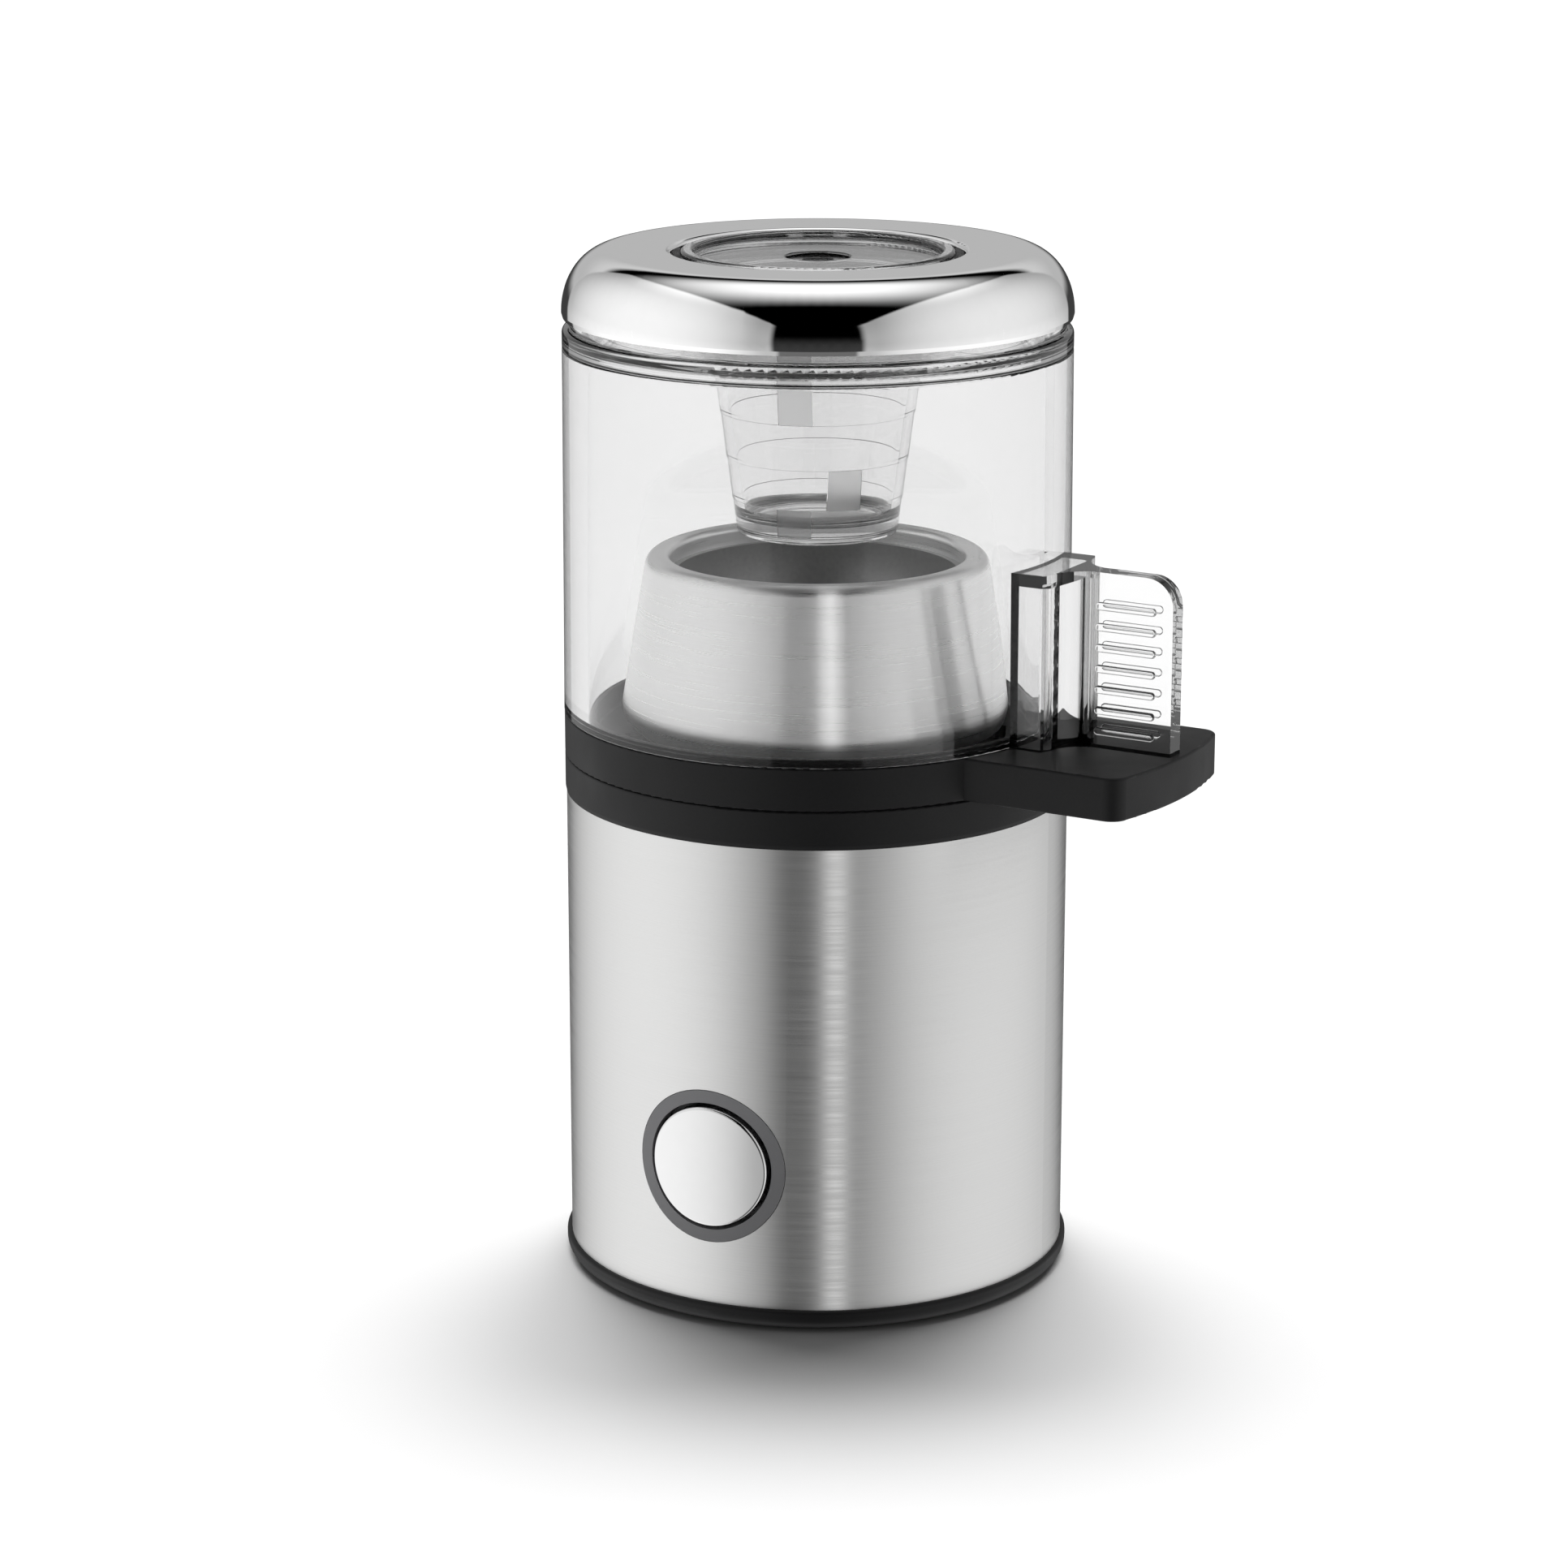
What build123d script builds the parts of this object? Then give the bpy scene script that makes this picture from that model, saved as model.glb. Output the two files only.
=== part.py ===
from build123d import *
import math
import os

# Single-egg cooker. Millimetres, +Z up, origin on the axis of the round base at its standing plane.
# The push button faces -Y. The tab of the tray and the handle of the hood point along TAB_ANGLE.

# Driving dimensions
SHELL_R = 41.0  # outer radius of the steel shell
SHELL_WALL = 0.6
FOOT_TOP = 3.6  # top of the foot ring, where the shell starts
SHELL_TOP = 79.94  # top of the shell, where the collar starts
SPLIT_Z = 86.13  # seat of the tray on the collar
HOOD_Z = 93.04  # seat of the hood on the tray
HOOD_SEAM_Z = 152.55  # joint of the hood's wall and cap
SHOULDER_Z = 155.8  # top of the cap's outer shoulder
TOWER_TOP = 168.0  # rim of the cap's centre tower
TAB_ANGLE = -5.0  # direction of tab and handle, from +X towards -Y

RING_R = 41.2  # collar and tray ring
HOOD_R = 41.25
HOOD_TOP_R = 40.95
HOOD_BORE_R = 37.3
HOOD_TOP_BORE_R = 36.7
FLOOR_Z = 90.4  # tray floor, on which the egg cup stands
TAB_REACH = 66.0  # from the axis to the tab's outer edge
TAB_HALF = 18.2

BUTTON_Z = 26.6
BUTTON_R = 9.95
BUTTON_TRAVEL = 1.8
BEZEL_R = 12.65
BEZEL_BORE_R = 10.6
BOARD_Y = -22.0  # front face of the circuit board

CUP_MOUTH_R = 23.9  # inner edge of the egg cup's rolled rim
CUP_TOP = 119.35
BOWL_R = 22.8

MEASURE_BOTTOM = 122.7
MEASURE_BOTTOM_R = 12.84
MEASURE_SLOPE = 0.14  # growth of its radius with height
MEASURE_TOP = 162.6
MEASURE_STEPS = (123.3, 128.4, 135.0, 142.4)  # heights where each band of its outside begins

GLAND_Z = 12.0
GLAND_BORE_R = 3.1
GLAND_FLANGE_R = 6.4
SCREW_CIRCLE_R = 30.0
SCREW_ANGLES = (0, 120, 240)
STUD_CIRCLE_R = 28.0
STUD_ANGLES = (30, 150, 270)
HOOK_ANGLES = (60, 180, 300)


def lathe(*corners):
    """Solid of revolution about Z. Each corner is (radius, height) or (radius, height, rounding)."""
    points = [(corner[0], corner[1]) for corner in corners]
    roundings = [corner[2] if len(corner) > 2 else 0 for corner in corners]
    outline = FilletPolyline(*points, radius=roundings, close=True)
    return revolve(make_face(Plane.XZ * outline), Axis.Z)


def post(radius, low, high, x=0, y=0):
    """Vertical cylinder between two heights."""
    return Pos(x, y, (low + high) / 2) * Cylinder(radius, high - low)


def rod_y(radius, front, back, x=0, z=0):
    """Cylinder along Y between two depths."""
    return Pos(x, (front + back) / 2, z) * Rot(90, 0, 0) * Cylinder(radius, back - front)


def block(x0, x1, y0, y1, z0, z1):
    """Box between two corners."""
    return Pos((x0 + x1) / 2, (y0 + y1) / 2, (z0 + z1) / 2) * Box(x1 - x0, y1 - y0, z1 - z0)


def around(radius, angle):
    """Point on a circle about the Z axis."""
    return radius * math.cos(math.radians(angle)), radius * math.sin(math.radians(angle))


def spoke(angle, inner, outer, half_width, low, high):
    """Radial block at an angle about the Z axis."""
    return Rot(0, 0, angle) * block(inner, outer, -half_width, half_width, low, high)


# Base: foot, shell and frame

PLATE_BOTTOM = 0.4
PAD_R = 36.0
PAD_TOP = 1.4
BASE_FLOOR = 5.5  # upper face of the base plate
HEAD_SEAT = 3.4  # seat of the screw heads inside the base plate


def base_plate():
    plate = lathe(
        (0, PAD_TOP),
        (PAD_R + 0.2, PAD_TOP),
        (PAD_R + 0.2, PLATE_BOTTOM),
        (41.8, PLATE_BOTTOM, 2.0),
        (41.8, FOOT_TOP, 0.5),
        (38.2, FOOT_TOP),
        (38.2, 8.0, 0.4),
        (36.2, 8.0, 0.4),
        (36.2, BASE_FLOOR),
        (0, BASE_FLOOR),
    )
    for angle in SCREW_ANGLES:
        x, y = around(SCREW_CIRCLE_R, angle)
        plate -= post(1.7, 0, 6, x, y)
        plate -= post(3.1, 0, HEAD_SEAT, x, y)
    return plate - rod_y(GLAND_FLANGE_R + 0.05, 35, 45, z=GLAND_Z)


def anti_slip_pad():
    pad = lathe((0, 0), (PAD_R, 0, 0.3), (PAD_R, PAD_TOP), (0, PAD_TOP))
    for angle in SCREW_ANGLES:
        x, y = around(SCREW_CIRCLE_R, angle)
        pad -= post(3.2, -1, 2, x, y)
    return pad


def base_screw(angle):
    x, y = around(SCREW_CIRCLE_R, angle)
    screw = post(2.8, HEAD_SEAT - 1.7, HEAD_SEAT, x, y) + post(1.5, HEAD_SEAT, 15.0, x, y)
    slot_top = HEAD_SEAT - 0.9
    slot = block(x - 1.7, x + 1.7, y - 0.35, y + 0.35, 0, slot_top)
    cross = block(x - 0.35, x + 0.35, y - 1.7, y + 1.7, 0, slot_top)
    return screw - slot - cross


def shell():
    tube = lathe(
        (SHELL_R - SHELL_WALL, FOOT_TOP),
        (SHELL_R, FOOT_TOP),
        (SHELL_R, SHELL_TOP),
        (SHELL_R - SHELL_WALL, SHELL_TOP),
    )
    tube -= rod_y(BEZEL_R + 0.1, -50, 0, z=BUTTON_Z)
    return tube - rod_y(5.2, 0, 50, z=GLAND_Z)


CHASSIS_R = 40.2
CHASSIS_BORE_R = 38.4
CHASSIS_TOP = 72.0


def chassis():
    frame = lathe(
        (CHASSIS_BORE_R, FOOT_TOP),
        (CHASSIS_R, FOOT_TOP),
        (CHASSIS_R, CHASSIS_TOP),
        (CHASSIS_BORE_R, CHASSIS_TOP),
    )
    for angle in SCREW_ANGLES:
        x, y = around(SCREW_CIRCLE_R, angle)
        frame += spoke(angle, SCREW_CIRCLE_R + 1, CHASSIS_BORE_R + 0.5, 1.2, 8.2, 14.0)
        frame += post(3.8, BASE_FLOOR, 14.0, x, y)
        frame -= post(1.55, 0, 20, x, y)
    for angle in HOOK_ANGLES:
        frame -= spoke(angle, 37, 42, 4.4, 65.8, 73)
    frame -= rod_y(14.2, -50, 0, z=BUTTON_Z)
    return frame - rod_y(5.3, 0, 50, z=GLAND_Z)


def top_collar():
    collar = lathe(
        (RING_R, SPLIT_Z, 0.3),
        (RING_R, 80.6, 0.6),
        (41.05, SHELL_TOP),
        (40.3, SHELL_TOP),
        (40.3, 73.0),
        (38.6, 73.0),
        (38.6, 79.0),
        (34.6, 79.0, 0.4),
        (34.6, 81.0, 0.4),
        (39.0, 81.0),
        (39.0, SPLIT_Z, 0.5),
    )
    for angle in HOOK_ANGLES:
        hook = lathe((38.7, 66.2), (40.1, 66.2), (40.1, 73.2), (38.7, 73.2))
        collar += hook & spoke(angle, 36, 42, 4.0, 60, 80)
    return collar


# Base: button

BEZEL_BACK = -36.0  # rear of the bezel's flange, where its web starts
WEB_BACK = -34.5
SLEEVE_END = -31.5
STEM_R = 3.0
CAP_FACE = -41.6


def button_bezel():
    neck = rod_y(BEZEL_R, -45, BEZEL_BACK, z=BUTTON_Z) & post(SHELL_R + 0.05, 0, 60)
    flange = rod_y(14.0, -45, WEB_BACK, z=BUTTON_Z) & post(SHELL_R - SHELL_WALL - 0.15, 0, 60)
    sleeve = rod_y(4.6, -35, SLEEVE_END, z=BUTTON_Z)
    bezel = neck + flange + sleeve
    bezel -= rod_y(BEZEL_BORE_R, -45, BEZEL_BACK, z=BUTTON_Z)
    return bezel - rod_y(STEM_R + 0.06, -45, -30, z=BUTTON_Z)


def button_cap():
    profile = FilletPolyline(
        (0, 0),
        (BUTTON_R, 0),
        (BUTTON_R, 3.4),
        (BUTTON_R - 1.1, 3.4),
        (BUTTON_R - 1.1, 2.2),
        (STEM_R, 2.2),
        (STEM_R, 11.4),
        (0, 11.4),
        radius=[0, 0, 0.2, 0, 0.4, 0, 0.3, 0],
        close=True,
    )
    turned = revolve(make_face(Plane.XZ * profile), Axis.Z)
    cap = Pos(0, CAP_FACE, BUTTON_Z) * Rot(-90, 0, 0) * turned
    cap &= post(-CAP_FACE, 0, 60)
    face = cap.faces().sort_by(Axis.Y)[0]
    return fillet(face.outer_wire().edges(), 0.45)


def button_clip():
    clip = rod_y(4.3, SLEEVE_END, SLEEVE_END + 0.6, z=BUTTON_Z)
    return clip - rod_y(STEM_R + 0.02, -40, -20, z=BUTTON_Z)


SPRING_WIRE_R = 0.25


def button_spring():
    turns = 2
    front = CAP_FACE + 2.2 + SPRING_WIRE_R + 0.02
    length = BEZEL_BACK - SPRING_WIRE_R - 0.02 - front
    coil_path = Helix(pitch=length / turns, height=length, radius=5.5)
    section = Plane(origin=coil_path @ 0, z_dir=coil_path % 0) * Circle(SPRING_WIRE_R)
    coil = sweep(section, path=coil_path)
    return Pos(0, front, BUTTON_Z) * Rot(-90, 0, 0) * coil


PLUNGER_R = 1.6
PLUNGER_FRONT = CAP_FACE + 11.4


def switch_plunger():
    return rod_y(PLUNGER_R, PLUNGER_FRONT, PLUNGER_FRONT + 3.2, z=BUTTON_Z)


def switch_body():
    body = block(-6, 6, -28, BOARD_Y, BUTTON_Z - 6, BUTTON_Z + 6)
    body -= rod_y(PLUNGER_R + 0.06, -40, PLUNGER_FRONT + 3.2 + BUTTON_TRAVEL + 0.5, z=BUTTON_Z)
    front_edges = body.faces().sort_by(Axis.Y)[0].outer_wire().edges()
    return chamfer(front_edges, 0.6)


# Base: electronics

BOARD_BACK = BOARD_Y + 1.6
BOARD_HALF = 19.0
BOARD_LOW = 15.0
BOARD_HIGH = 47.0
STANDOFF_BACK = BOARD_BACK + 4.0
BOARD_HOLES = [(side * 16.0, z) for side in (-1, 1) for z in (18.0, 44.0)]


def circuit_board():
    board = block(-BOARD_HALF, BOARD_HALF, BOARD_Y, BOARD_BACK, BOARD_LOW, BOARD_HIGH)
    for x, z in BOARD_HOLES:
        board -= rod_y(1.15, -30, 0, x, z)
    return board


def board_carrier():
    carrier = block(-21, 21, STANDOFF_BACK, STANDOFF_BACK + 2, BASE_FLOOR, 49)
    carrier -= block(-8, 8, -30, 0, BASE_FLOOR, 18.0)
    carrier += block(-21, -10, STANDOFF_BACK, STANDOFF_BACK + 8, BASE_FLOOR, BASE_FLOOR + 2)
    carrier += block(10, 21, STANDOFF_BACK, STANDOFF_BACK + 8, BASE_FLOOR, BASE_FLOOR + 2)
    for x, z in BOARD_HOLES:
        carrier += rod_y(2.2, BOARD_BACK, STANDOFF_BACK, x, z)
        carrier -= rod_y(1.05, -30, STANDOFF_BACK, x, z)
    return carrier


def board_screw(x, z):
    head = rod_y(2.0, BOARD_Y - 1.2, BOARD_Y, x, z)
    shank = rod_y(1.0, BOARD_Y, STANDOFF_BACK - 0.4, x, z)
    return head + shank - block(x - 1.5, x + 1.5, BOARD_Y - 2, BOARD_Y - 0.7, z - 0.25, z + 0.25)


def relay():
    can = block(-13, -2, -31, BOARD_Y, 35.5, 46.0)
    return chamfer(can.faces().sort_by(Axis.Y)[0].edges(), 0.5)


def capacitor():
    return rod_y(4.0, -31, BOARD_Y, x=9.5, z=40.5)


def indicator_led(x):
    body = rod_y(1.5, BOARD_Y - 4, BOARD_Y, x, BUTTON_Z)
    dome = Pos(x, BOARD_Y - 4, BUTTON_Z) * Sphere(1.5)
    flange = rod_y(1.9, BOARD_Y - 1, BOARD_Y, x, BUTTON_Z)
    return body + dome + flange


def terminal_block():
    housing = block(-8, 8, 0, 9, BASE_FLOOR, 15.5)
    housing = chamfer(housing.faces().sort_by(Axis.Z)[-1].edges(), 0.6)
    for x in (-4, 4):
        housing -= post(1.6, 13.5, 20, x, 4.5)
    return housing


def terminal_screw(x):
    screw = post(1.5, 13.5, 15.1, x, 4.5)
    return screw - block(x - 2, x + 2, 4.2, 4.8, 14.4, 16)


# Base: cord entry

def cord_gland():
    outer_flange = rod_y(GLAND_FLANGE_R, 38, 42.5, z=GLAND_Z)
    outer_flange = fillet(outer_flange.faces().sort_by(Axis.Y)[-1].edges(), 0.7)
    outer_flange -= post(SHELL_R, 0, 30)
    neck = rod_y(5.0, 37.5, 41.5, z=GLAND_Z)
    inner_flange = rod_y(GLAND_FLANGE_R, 36.2, 37.6, z=GLAND_Z)
    tail = rod_y(4.6, 30.0, 36.4, z=GLAND_Z)
    return outer_flange + neck + inner_flange + tail - rod_y(GLAND_BORE_R, 20, 50, z=GLAND_Z)


def cord_clamp():
    bridge = block(-8.5, 8.5, 17, 24, BASE_FLOOR, 17.5)
    bridge = chamfer(bridge.faces().sort_by(Axis.Z)[-1].edges(), 0.8)
    bridge -= rod_y(GLAND_BORE_R + 0.4, 10, 30, z=GLAND_Z)
    for x in (-6.2, 6.2):
        bridge -= post(1.05, 6, 20, x, 20.5)
    return bridge


def clamp_screw(x):
    screw = post(1.0, 7.0, 17.5, x, 20.5) + post(1.9, 17.5, 18.8, x, 20.5)
    return screw - block(x - 1.4, x + 1.4, 20.2, 20.8, 18.2, 20)


# Base: heater

DISH_BOTTOM = 74.0
PLATE_LOW = 72.0
TUBE_R = 3.0
TUBE_CIRCLE_R = 19.0
TUBE_Z = PLATE_LOW - TUBE_R
GAP_HALF = 20.0  # half of the element's open angle, which faces +Y
SHIELD_FLOOR = 56.0
PIN_END = 53.0


def dish_seal():
    return lathe((34.9, 81.0), (38.2, 81.0), (38.2, 81.8), (34.9, 81.8))


def heating_dish():
    dish = lathe(
        (0, DISH_BOTTOM),
        (31.8, DISH_BOTTOM, 3.6),
        (34.2, 81.8, 0.4),
        (38.4, 81.8),
        (38.4, 82.8, 0.3),
        (33.2, 82.8, 0.9),
        (30.8, DISH_BOTTOM + 1.2, 2.8),
        (0, DISH_BOTTOM + 1.2),
    )
    for angle in STUD_ANGLES:
        x, y = around(STUD_CIRCLE_R, angle)
        dish += post(1.5, PIN_END, DISH_BOTTOM + 0.2, x, y)
    return dish


def heater_plate():
    return lathe((0, PLATE_LOW), (25.5, PLATE_LOW, 0.4), (25.5, DISH_BOTTOM), (0, DISH_BOTTOM))


def heater_pin_place(side):
    """Centre of one cold pin, at an end of the C-shaped element."""
    return around(TUBE_CIRCLE_R, 90 + side * GAP_HALF)


def heater_element():
    arc = 360 - 2 * GAP_HALF
    start = 90 + GAP_HALF
    path = CenterArc((0, 0, TUBE_Z), TUBE_CIRCLE_R, start, arc)
    section = Plane(origin=path @ 0, z_dir=path % 0) * Circle(TUBE_R)
    element = sweep(section, path=path)
    for side in (-1, 1):
        x, y = heater_pin_place(side)
        element += Pos(x, y, TUBE_Z) * Sphere(TUBE_R)
        element += post(1.5, PIN_END, TUBE_Z, x, y)
    return element


def thermostat():
    cap = post(8.0, 68.5, PLATE_LOW)
    body = post(7.2, 62.5, 68.6)
    blades = block(-6.2, -5.4, -3.1, 3.1, 58.5, 62.6) + block(5.4, 6.2, -3.1, 3.1, 58.5, 62.6)
    return cap + body + blades


FUSE_Y = -12.2
FUSE_R = 1.9


def thermal_fuse():
    barrel = Rot(0, 90, 0) * Cylinder(FUSE_R, 12)
    lead = Rot(0, 90, 0) * Cylinder(0.5, 18)
    return Pos(0, FUSE_Y, PLATE_LOW - FUSE_R - 0.1) * (barrel + lead)


def fuse_clip():
    centre = Pos(0, FUSE_Y, PLATE_LOW - FUSE_R - 0.1)
    strap = centre * Rot(0, 90, 0) * (Cylinder(FUSE_R + 0.75, 4) - Cylinder(FUSE_R + 0.1, 4))
    sides = centre * Box(4, 2 * FUSE_R + 1.5, 4.2) - centre * Box(4, 2 * FUSE_R + 0.2, 4.2)
    lower = block(-3, 3, FUSE_Y - 5, FUSE_Y + 5, 60, PLATE_LOW - FUSE_R - 0.1)
    upper = block(-3, 3, FUSE_Y - 5, FUSE_Y + 5, PLATE_LOW - FUSE_R - 0.1, PLATE_LOW)
    return (strap & lower) + (sides & upper)


def heat_shield():
    pan = lathe(
        (40.1, 72.0),
        (40.1, 73.0),
        (37.4, 73.0, 0.8),
        (36.4, SHIELD_FLOOR + 1.0, 2.0),
        (0, SHIELD_FLOOR + 1.0),
        (0, SHIELD_FLOOR),
        (37.3, SHIELD_FLOOR, 3.0),
        (38.2, 72.0),
    )
    for angle in STUD_ANGLES:
        x, y = around(STUD_CIRCLE_R, angle)
        pan -= post(1.8, 50, 60, x, y)
    for side in (-1, 1):
        x, y = heater_pin_place(side)
        pan -= post(2.4, 50, 60, x, y)
    for angle in HOOK_ANGLES:
        pan -= spoke(angle, 38.45, 42, 4.4, 60, 80)
    return pan


def dish_nut(angle):
    x, y = around(STUD_CIRCLE_R, angle)
    outline = RegularPolygon(radius=3.15, side_count=6)
    nut = Pos(x, y, SHIELD_FLOOR - 2.4) * extrude(outline, amount=2.4)
    return nut - post(1.52, 50, 60, x, y)


LEAD_R = 0.8


def lead(points, bends):
    """Insulated wire along straight runs with rounded bends."""
    route = FilletPolyline(*points, radius=bends)
    section = Plane(origin=route @ 0, z_dir=route % 0) * Circle(LEAD_R)
    return sweep(section, path=route)


def heater_lead(side):
    x, y = heater_pin_place(side)
    points = [(x, y, PIN_END), (x, y, 40), (side * -4.0, 4.5, 26), (side * -4.0, 4.5, 15.2)]
    return lead(points, [6, 6])


def board_lead(side):
    x = side * 4.0
    points = [(x, 0, 9), (x, -13, 9), (x, BOARD_BACK + 0.7, 19)]
    return lead(points, 4)


# Tray

LIP_R = 37.0  # locating lip inside the hood
SPIGOT_R = 38.7  # locating spigot inside the collar
BOSS_R = 18.0
TAB_SKIN = 2.2


def tab_blank(margin, low, high, inner):
    """Tab outline, drawn in by a margin, between two heights and outside a radius."""
    outline = Circle(TAB_REACH - margin) & Pos(60, 0) * Rectangle(70, 2 * (TAB_HALF - margin))
    corners = outline.vertices().sort_by(Axis.X)[-2:]
    outline = fillet(corners, 3.0 - margin * 0.5)
    return Pos(0, 0, low) * extrude(outline, amount=high - low) - post(inner, 60, 100)


def tray_tab():
    tab = tab_blank(0, SPLIT_Z, HOOD_Z, 40.0)
    rim = tab.edges().filter_by(lambda e: e.center().X > 42 and abs(e.tangent_at(0.5).Z) < 0.5)
    tab = fillet(rim, 0.4)
    tab -= tab_blank(TAB_SKIN, SPLIT_Z - 1, HOOD_Z - TAB_SKIN, 44.0)
    for y in (-6, 6):
        tab += block(43.5, 63.0, y - 0.6, y + 0.6, SPLIT_Z + 2.5, HOOD_Z - 1)
    return Rot(0, 0, TAB_ANGLE) * tab


def tray():
    ring = lathe(
        (0, 88.4),
        (37.0, 88.4, 0.4),
        (37.0, 83.3),
        (SPIGOT_R, 83.3, 0.5),
        (SPIGOT_R, SPLIT_Z),
        (RING_R, SPLIT_Z, 0.3),
        (RING_R, HOOD_Z, 0.3),
        (LIP_R, HOOD_Z),
        (LIP_R, HOOD_Z + 0.85, 0.25),
        (LIP_R - 0.8, HOOD_Z + 0.85, 0.25),
        (LIP_R - 0.8, FLOOR_Z, 0.5),
        (BOSS_R, FLOOR_Z),
        (BOSS_R, FLOOR_Z + 0.8, 0.3),
        (0, FLOOR_Z + 0.8),
    )
    body = ring + tray_tab()
    slot_ring = lathe((29.0, 80), (31.4, 80), (31.4, 95), (29.0, 95))
    for index in range(12):
        wedge = spoke(index * 30 + 15, 20, 34, 4.2, 86, 92)
        body -= slot_ring & wedge
    return body


# Egg cup

def egg_cup_shell():
    return lathe(
        (0, FLOOR_Z + 1.0),
        (18.35, FLOOR_Z + 1.0, 0.3),
        (18.8, FLOOR_Z, 0.3),
        (32.55, FLOOR_Z, 4.6),
        (27.65, CUP_TOP, 1.9),
        (CUP_MOUTH_R, CUP_TOP - 0.25, 0.9),
        (CUP_MOUTH_R, 116.2),
        (CUP_MOUTH_R + 0.8, 116.2),
        (CUP_MOUTH_R + 0.8, 118.3, 0.4),
        (26.9, 118.45, 1.0),
        (31.6, FLOOR_Z + 0.8, 3.8),
        (19.5, FLOOR_Z + 0.8, 0.2),
        (19.1, FLOOR_Z + 1.8, 0.2),
        (0, FLOOR_Z + 1.8),
    )


def egg_cup_bowl():
    top = 116.2
    bowl = Pos(0, 0, top) * Sphere(BOWL_R + 1.2)
    bowl += post(BOWL_R + 2.0, top - 0.8, top)
    bowl &= post(60, 0, top)
    return bowl - Pos(0, 0, top) * Sphere(BOWL_R)


# Hood

HANDLE_TOP = 121.3
FIN_END = 64.6
FIN_HALF = 1.75
WEDGE_HALF = 9.1


def hood_bore(z):
    """Inner radius of the hood's wall at a height, with its moulding draft."""
    share = (z - HOOD_Z) / (HOOD_SEAM_Z - HOOD_Z)
    return HOOD_BORE_R + (HOOD_TOP_BORE_R - HOOD_BORE_R) * share


def handle_outline():
    """Plan of the handle: flat-sided wedge, a hollow curve on each side, then the fin."""
    upper = [
        Line((38, WEDGE_HALF), (45.6, WEDGE_HALF)),
        Line((45.6, WEDGE_HALF), (46.3, 7.6)),
        ThreePointArc((46.3, 7.6), (47.7, 3.8), (50.8, FIN_HALF)),
        Line((50.8, FIN_HALF), (FIN_END, FIN_HALF)),
    ]
    lower = [mirror(edge, Plane.XZ) for edge in upper]
    ends = [
        Line((38, -WEDGE_HALF), (38, WEDGE_HALF)),
        Line((FIN_END, FIN_HALF), (FIN_END, -FIN_HALF)),
    ]
    return make_face(upper + lower + ends)


def grip_rib(index):
    """One rounded bar across the fin, standing proud of both its faces."""
    z = HOOD_Z + 2.8 + index * 3.35
    bar = extrude(SlotOverall(10.4, 1.3), amount=FIN_HALF + 0.5, both=True)
    ends = bar.faces().sort_by(Axis.Z)
    bar = fillet(ends[0].edges() + ends[-1].edges(), 0.3)
    return Pos(56.6, 0, z) * Rot(90, 0, 0) * bar


def handle():
    height = HANDLE_TOP - HOOD_Z
    body = Pos(0, 0, HOOD_Z) * extrude(handle_outline(), amount=height)
    corner = body.edges().filter_by(Axis.Y).filter_by(lambda e: e.center().X > 60).sort_by(Axis.Z)[-1]
    body = fillet(corner, 4.6)
    pocket = Pos(42.2, 0, HOOD_Z) * extrude(RectangleRounded(6.6, 14.0, 1.0), amount=height - 2.3)
    body -= pocket - post(HOOD_R + 0.2, 80, 130)
    for index in range(7):
        body += grip_rib(index)
    return Rot(0, 0, TAB_ANGLE) * (body - post(39.5, 80, 130))


def hood_wall():
    wall = lathe(
        (HOOD_BORE_R, HOOD_Z, 0.3),
        (HOOD_R, HOOD_Z, 0.3),
        (HOOD_TOP_R, HOOD_SEAM_Z, 0.3),
        (HOOD_TOP_BORE_R, HOOD_SEAM_Z),
    )
    return wall + handle()


TOWER_R = 21.9
TOWER_BORE_R = 19.9
VENT_R = 5.2
PLATE_TOP = TOWER_TOP - 1.2


def hood_cap():
    cap = lathe(
        (35.0, HOOD_SEAM_Z),
        (HOOD_TOP_R, HOOD_SEAM_Z, 0.3),
        (HOOD_TOP_R, SHOULDER_Z, 0.9),
        (39.8, SHOULDER_Z),
        (39.8, 159.4, 0.4),
        (37.8, 159.4, 0.4),
        (37.8, SHOULDER_Z),
        (TOWER_R, SHOULDER_Z, 0.6),
        (TOWER_R, TOWER_TOP, 0.5),
        (TOWER_BORE_R, TOWER_TOP, 0.5),
        (TOWER_BORE_R, PLATE_TOP, 0.3),
        (VENT_R, PLATE_TOP, 0.3),
        (VENT_R, PLATE_TOP - 1.6, 0.3),
        (TOWER_BORE_R, PLATE_TOP - 1.6, 0.6),
        (TOWER_BORE_R, SHOULDER_Z - 2.2, 0.3),
        (35.0, SHOULDER_Z - 2.2, 0.6),
    )
    return cap


COVER_R = 41.0
COVER_LOW = 157.5
COVER_TOP = 168.15
COVER_WALL = 0.7
COVER_MOUTH_R = 23.4
CROWN_R = 33.4


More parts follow.
